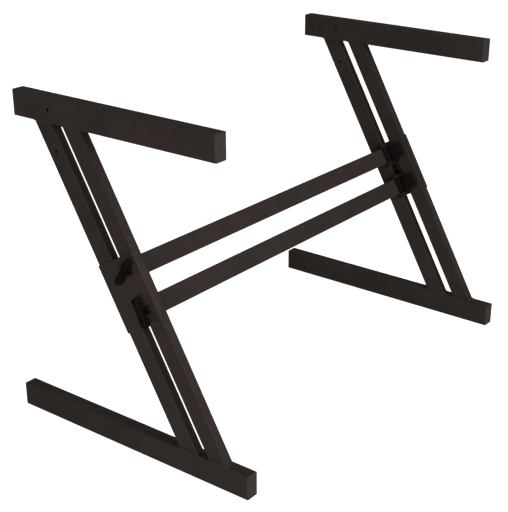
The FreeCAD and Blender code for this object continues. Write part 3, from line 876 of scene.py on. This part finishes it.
@dataclass
class EndCap:
    """The moulded cap in one end of an arm or a foot."""

    side: Side
    rail: str
    end: str
    rim: float = 2.5 * MM
    corner: float = 2.0 * MM
    edge: float = 0.8 * MM
    border: float = 3.2 * MM
    recess: float = 0.5 * MM
    wall_gap: float = 1.6 * MM
    spigot_wall: float = 2.5 * MM
    spigot_lead: float = 1.0 * MM
    spigot_chamfer: float = 0.5 * MM
    inner_floor: float = 0.6 * MM
    panel_margins: tuple[float, float] = (2.2 * MM, 0.9 * MM)
    panel_bevel: float = 0.7 * MM
    panel_lip: float = 0.96
    panel_steps: int = 4
    edge_steps: int = 6
    least_corner: float = 0.4 * MM

    @property
    def node(self) -> str:
        """The frame's node that this cap stands for."""
        return f"{self.side.value}_{self.rail}_{self.end}_cap"

    def build(self, paint: Paintbox) -> bpy.types.Object:
        """The cap, from the middle of its face round its rim to the inside of its spigot.

        Args:
            paint: the materials.

        Returns:
            The cap, riding on its side frame.
        """
        low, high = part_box(self.node)
        outward = -1.0 if self.end == "front" else 1.0
        face_y = low.y if outward < 0.0 else high.y
        deep = high.y - low.y
        half_x = (high.x - low.x) / 2.0
        half_z = (high.z - low.z) / 2.0
        middle = (low + high) / 2.0
        quarter = math.pi / 2.0
        stations = [(self.recess, self.border + margin) for margin in self.panel_margins]
        stations += [
            (
                self.recess * (1.0 - math.sin(turn)) * self.panel_lip,
                self.border + self.panel_bevel * math.cos(turn),
            )
            for turn in (quarter / self.panel_steps * step for step in range(1, self.panel_steps + 1))
        ]
        stations += [
            (self.edge * (1.0 - math.cos(turn)), self.edge * (1.0 - math.sin(turn)))
            for turn in (quarter / self.edge_steps * step for step in range(self.edge_steps + 1))
        ]
        inner_inset = self.wall_gap + self.spigot_wall
        stations += [
            (self.rim, 0.0), (self.rim, self.wall_gap), (deep - self.spigot_lead, self.wall_gap),
            (deep, self.wall_gap + self.spigot_chamfer), (deep, inner_inset),
            (self.rim + self.inner_floor, inner_inset),
        ]
        rings = []
        for depth, inset in stations:
            radius = max(self.least_corner, self.corner - inset)
            outline = rounded_outline(half_x - inset, half_z - inset, radius, CORNER_CHORDS)
            y = face_y - outward * depth
            rings.append([Vector((middle.x + x * outward, y, middle.z + z)) for x, z in outline])
        cap = skin(f"{self.node}_moulding", rings, False, paint.by_slot[Slot.CAP_PLASTIC])
        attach(cap, f"{self.side.value}_frame")
        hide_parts(self.node)
        return cap


# ---------------------------------------------------------------- clamp knobs

@dataclass
class ClampKnob:
    """A moulded T-knob on a clamp stud, turned as its node in the frame is."""

    side: Side
    level: Level
    length: float = 58.0 * MM
    width: float = 15.0 * MM
    waist: float = 11.0 * MM
    depth: float = 16.0 * MM
    stem_length: float = 7.0 * MM
    stem_base: float = 9.0 * MM
    stem_top: float = 7.0 * MM
    edge: float = 3.0 * MM
    groove: float = 0.7 * MM
    grooves: int = 3
    groove_start: float = 0.22
    groove_stop: float = 0.40
    tip_drop: float = 0.11
    least_half: float = 0.12 * MM
    skirt_top: float = 2.4 * MM
    stem_steps: int = 8
    stem_flare: float = 0.9 * MM
    stem_overlap: float = 1.0 * MM
    plug_margin: float = 1.4 * MM
    seat_gap: float = 0.08 * MM
    rings: int = 72
    around: int = 48

    @property
    def node(self) -> str:
        """The frame's node that this knob stands for."""
        return f"{self.side.value}_{self.level.value}_knob"

    def placement(self, node: bpy.types.Object) -> Matrix:
        """From the knob's own frame (bar along X, stem down Z) to the stand.

        Args:
            node: the frame's knob.

        Returns:
            The turn and shift.
        """
        low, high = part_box(self.node)
        seat = low.x if self.side is Side.RIGHT else high.x
        middle = (low + high) / 2.0
        spread_yy = spread_zz = spread_yz = 0.0
        for vertex in node.data.vertices:
            y = vertex.co.y - middle.y
            z = vertex.co.z - middle.z
            spread_yy += y * y
            spread_zz += z * z
            spread_yz += y * z
        turn = 0.5 * math.atan2(2.0 * spread_yz, spread_yy - spread_zz)
        bar = Vector((0.0, math.cos(turn), math.sin(turn)))
        outward = Vector((self.side.outward, 0.0, 0.0))
        across = outward.cross(bar)
        axes = Matrix((bar, across, outward)).transposed().to_4x4()
        return Matrix.Translation(Vector((seat, middle.y, middle.z))) @ axes

    def half_width(self, place: float) -> float:
        """Half the bar's width along its length.

        Args:
            place: the distance from the stud, along the bar.

        Returns:
            The half width there.
        """
        half_end = self.width / 2.0
        straight = self.length / 2.0 - half_end
        distance = abs(place)
        if distance <= straight:
            share = distance / straight
            return (self.waist + (self.width - self.waist) * share * share) / 2.0
        return math.sqrt(max(0.0, half_end ** 2 - (distance - straight) ** 2))

    def grip(self, place: float) -> float:
        """How deep the finger grooves are cut at a distance from the stud.

        Args:
            place: the distance from the stud, along the bar.

        Returns:
            The depth of the cut.
        """
        start = self.length * self.groove_start
        stop = self.length * self.groove_stop
        distance = abs(place)
        if not start < distance < stop:
            return 0.0
        return self.groove * math.sin(self.grooves * math.pi * (distance - start) / (stop - start)) ** 2

    def bar(self, place: Matrix, material: bpy.types.Material) -> bpy.types.Object:
        """The T-bar, lofted along its length.

        Args:
            place: the knob's placement.
            material: its finish.

        Returns:
            The bar.
        """
        rings = []
        half_length = self.length / 2.0
        for index in range(self.rings + 1):
            x = -half_length * math.cos(math.pi * index / self.rings)
            half = max(self.least_half, self.half_width(x) - self.grip(x))
            tip = max(0.0, (abs(x) - (half_length - self.width / 2.0)) / (self.width / 2.0))
            drop = self.depth * self.tip_drop * tip ** 3
            crown = self.depth / 2.0 - drop
            middle = self.stem_length + self.depth / 2.0
            corner = min(self.edge, half * 0.9)
            outline = rounded_outline(half, crown, corner, self.around // 8)
            rings.append([place @ Vector((x, y, middle + z)) for y, z in outline])
        return skin("bar", rings, False, material)

    def turned(self, name: str, profile: Sequence[tuple[float, float]], place: Matrix,
               material: bpy.types.Material) -> bpy.types.Object:
        """A round form about the stud.

        Args:
            name: the form's name.
            profile: heights above the seat, each with its radius.
            place: the knob's placement.
            material: its finish.

        Returns:
            The form.
        """
        turns = [math.tau * step / self.around for step in range(self.around)]
        rings = [
            [place @ Vector((radius * math.cos(turn), radius * math.sin(turn), height)) for turn in turns]
            for height, radius in profile
        ]
        return skin(name, rings, False, material)

    def stem(self, place: Matrix, material: bpy.types.Material) -> bpy.types.Object:
        """The flared stem between the washer and the bar, with a skirt at its foot.

        Args:
            place: the knob's placement.
            material: its finish.

        Returns:
            The stem.
        """
        profile = [
            (self.seat_gap, self.stem_base - 1.2 * MM), (self.seat_gap, self.stem_base - 0.4 * MM),
            (0.4 * MM, self.stem_base), (1.6 * MM, self.stem_base), (2.1 * MM, self.stem_base - 0.5 * MM),
        ]
        rise = self.stem_length + self.stem_overlap - self.skirt_top
        taper = self.stem_base - 1.0 * MM - self.stem_top
        for step in range(self.stem_steps + 1):
            share = step / self.stem_steps
            flare = self.stem_flare * (2.0 * share - 1.0) ** 2
            radius = self.stem_top + taper * (1.0 - share) ** 2 + flare * share
            profile.append((self.skirt_top + rise * share, radius))
        return self.turned("stem", profile, place, material)

    def disc(self, place: Matrix, material: bpy.types.Material) -> bpy.types.Object:
        """The round plug that covers the stud's end, level with the top of the bar's waist.

        Args:
            place: the knob's placement.
            material: its finish.

        Returns:
            The plug.
        """
        top = self.stem_length + self.depth
        radius = self.waist / 2.0 - self.plug_margin
        profile = [
            (top - 1.0 * MM, radius), (top - 0.12 * MM, radius), (top - 0.02 * MM, radius - 0.15 * MM),
            (top, radius - 0.4 * MM), (top - 0.05 * MM, radius * 0.5),
        ]
        return self.turned("disc", profile, place, material)

    def build(self, nodes: dict[str, bpy.types.Object], paint: Paintbox) -> bpy.types.Object:
        """The whole knob.

        Args:
            nodes: the frame's nodes.
            paint: the materials.

        Returns:
            The knob, riding on its own body.
        """
        material = paint.by_slot[Slot.KNOB_PLASTIC]
        place = self.placement(nodes[self.node])
        parts = [self.bar(place, material), self.stem(place, material), self.disc(place, material)]
        knob = joined(f"{self.node}_moulding", parts)
        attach(knob, self.node)
        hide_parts(self.node)
        return knob


# ---------------------------------------------------------------- stage

@dataclass(frozen=True)
class PhotoCamera:
    """The photograph's camera, found by fitting the stand's edges.

    Distances are in metres, and pixels are those of the photograph's frame.
    """

    place: Triple = (-1.848585, -1.387725, 1.204694)
    right: Triple = (0.599633, -0.800258, 0.005269)
    up: Triple = (0.328333, 0.252013, 0.910322)
    focal_px: float = 1145.294
    centre_px: tuple[float, float] = (279.28, 298.04)
    frame_px: tuple[int, int] = (508, 512)
    sensor_mm: float = 36.0

    def build(self) -> bpy.types.Object:
        """Make it the scene's camera.

        Returns:
            The camera.
        """
        data = bpy.data.cameras.new("photo_camera")
        long_side = max(self.frame_px)
        data.sensor_width = self.sensor_mm
        data.lens = self.focal_px / long_side * self.sensor_mm
        data.shift_x = (self.frame_px[0] / 2.0 - self.centre_px[0]) / long_side
        data.shift_y = (self.centre_px[1] - self.frame_px[1] / 2.0) / long_side
        camera = bpy.data.objects.new("photo_camera", data)
        bpy.context.scene.collection.objects.link(camera)
        right = Vector(self.right).normalized()
        back = right.cross(Vector(self.up)).normalized()
        axes = Matrix((right, back.cross(right), back)).transposed().to_4x4()
        camera.matrix_world = Matrix.Translation(Vector(self.place)) @ axes
        bpy.context.scene.camera = camera
        return camera


@dataclass(frozen=True)
class Softbox:
    """A large soft studio lamp."""

    name: str
    place: Triple
    target: Triple
    width: float
    height: float
    power: float

    def build(self) -> bpy.types.Object:
        """Put the lamp in the scene.

        Returns:
            The lamp.
        """
        data = bpy.data.lights.new(self.name, "AREA")
        data.shape = "RECTANGLE"
        data.size = self.width
        data.size_y = self.height
        data.energy = self.power
        lamp = bpy.data.objects.new(self.name, data)
        bpy.context.scene.collection.objects.link(lamp)
        lamp.location = Vector(self.place)
        lamp.rotation_mode = "QUATERNION"
        lamp.rotation_quaternion = (Vector(self.target) - Vector(self.place)).to_track_quat("-Z", "Y")
        return lamp


@dataclass(frozen=True)
class Studio:
    """A plain white floor and backdrop, with soft light from the front and from low on the left."""

    floor_size: float = 40.0
    floor_tone: float = 0.86
    floor_roughness: float = 0.9
    floor_lift: float = 1.0
    ambient: float = 0.180
    backdrop: float = 1.0
    lamps: tuple[Softbox, ...] = (
        Softbox("front_softbox", (-0.4, -3.0, 2.4), (-0.1, 0.0, 0.3), 2.0, 1.2, 58.0),
        Softbox("low_softbox", (-2.4, -1.2, 0.45), (-0.3, 0.0, 0.1), 1.6, 0.8, 18.0),
    )

    def build_world(self) -> None:
        """A backdrop that is white to the camera and a dimmer, even light to the stand."""
        world = bpy.data.worlds.new("studio")
        bpy.context.scene.world = world
        world.use_nodes = True
        graph = Graph(world.node_tree)
        background = world.node_tree.nodes["Background"]
        seen = graph.node("ShaderNodeLightPath").outputs["Is Camera Ray"]
        background.inputs["Color"].default_value = (1.0, 1.0, 1.0, 1.0)
        graph.feed(background.inputs["Strength"], graph.spread(seen, 0.0, 1.0, self.ambient, self.backdrop))

    def build_floor(self) -> bpy.types.Object:
        """The floor, lifted to the backdrop's white for the camera alone.

        Returns:
            The floor.
        """
        material = bpy.data.materials.new("pale_floor")
        material.use_nodes = True
        graph = Graph(material.node_tree)
        shader = material.node_tree.nodes["Principled BSDF"]
        shader.inputs["Base Color"].default_value = (self.floor_tone, self.floor_tone, self.floor_tone, 1.0)
        shader.inputs["Roughness"].default_value = self.floor_roughness
        shader.inputs["Specular IOR Level"].default_value = 0.0
        shader.inputs["Emission Color"].default_value = (1.0, 1.0, 1.0, 1.0)
        seen = graph.node("ShaderNodeLightPath").outputs["Is Camera Ray"]
        graph.feed(shader.inputs["Emission Strength"], graph.maths("MULTIPLY", seen, self.floor_lift))
        half = self.floor_size / 2.0
        corners = [(-half, -half, 0.0), (half, -half, 0.0), (half, half, 0.0), (-half, half, 0.0)]
        floor = from_faces("studio_floor", corners, [(0, 1, 2, 3)], material)
        return floor

    def build(self) -> None:
        """Set up the backdrop, the floor, the lamps and the view's plain tone curve."""
        self.build_world()
        self.build_floor()
        for lamp in self.lamps:
            lamp.build()
        view = bpy.context.scene.view_settings
        view.view_transform = "Standard"
        view.look = "None"


# ---------------------------------------------------------------- whole stand

@dataclass
class SideFrame:
    """One Z-shaped side frame with its welds, caps and knobs."""

    side: Side

    def build(self, nodes: dict[str, bpy.types.Object], paint: Paintbox) -> list[bpy.types.Object]:
        """Build what the frame's nodes don't show.

        Args:
            nodes: the frame's nodes.
            paint: the materials.

        Returns:
            The new pieces.
        """
        pieces = [SideFrameWelds(self.side).build(paint)]
        ends = [(rail, end) for rail in ("arm", "foot") for end in ("front", "rear")]
        pieces += [EndCap(self.side, rail, end).build(paint) for rail, end in ends]
        pieces += [ClampKnob(self.side, level).build(nodes, paint) for level in Level]
        return pieces


def record_slots(record: dict) -> dict[str, Slot]:
    """The finish of each node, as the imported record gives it.

    Args:
        record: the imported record.

    Returns:
        Slots by node name.
    """
    return {part["node"]: Slot(part["material_slot"]) for part in record["subparts"]}


def main(loaded: dict) -> None:
    """Dress the stand and set the stage.

    Args:
        loaded: what the frame's loader gave.
    """
    logging.basicConfig(level=logging.INFO, format="%(name)s: %(message)s")
    PhotoCamera().build()
    Studio().build()
    paint = Paintbox()
    nodes = loaded["nodes"]
    for name, slot in record_slots(loaded["record"]).items():
        paint.dress(nodes[name], slot)
        LOG.info("%s is dressed in %s", name, slot.value)
    for side in Side:
        for piece in SideFrame(side).build(nodes, paint):
            LOG.info("%s has %d faces", piece.name, len(piece.data.polygons))


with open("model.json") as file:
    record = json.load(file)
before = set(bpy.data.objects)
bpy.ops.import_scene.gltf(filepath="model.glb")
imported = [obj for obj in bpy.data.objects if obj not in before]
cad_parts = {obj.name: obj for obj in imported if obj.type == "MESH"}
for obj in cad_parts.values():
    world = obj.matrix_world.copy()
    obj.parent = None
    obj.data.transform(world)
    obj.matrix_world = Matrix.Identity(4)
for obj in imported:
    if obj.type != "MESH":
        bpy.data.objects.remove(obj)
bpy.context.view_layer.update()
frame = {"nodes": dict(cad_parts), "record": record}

if __name__ == "__main__":
    main(frame)
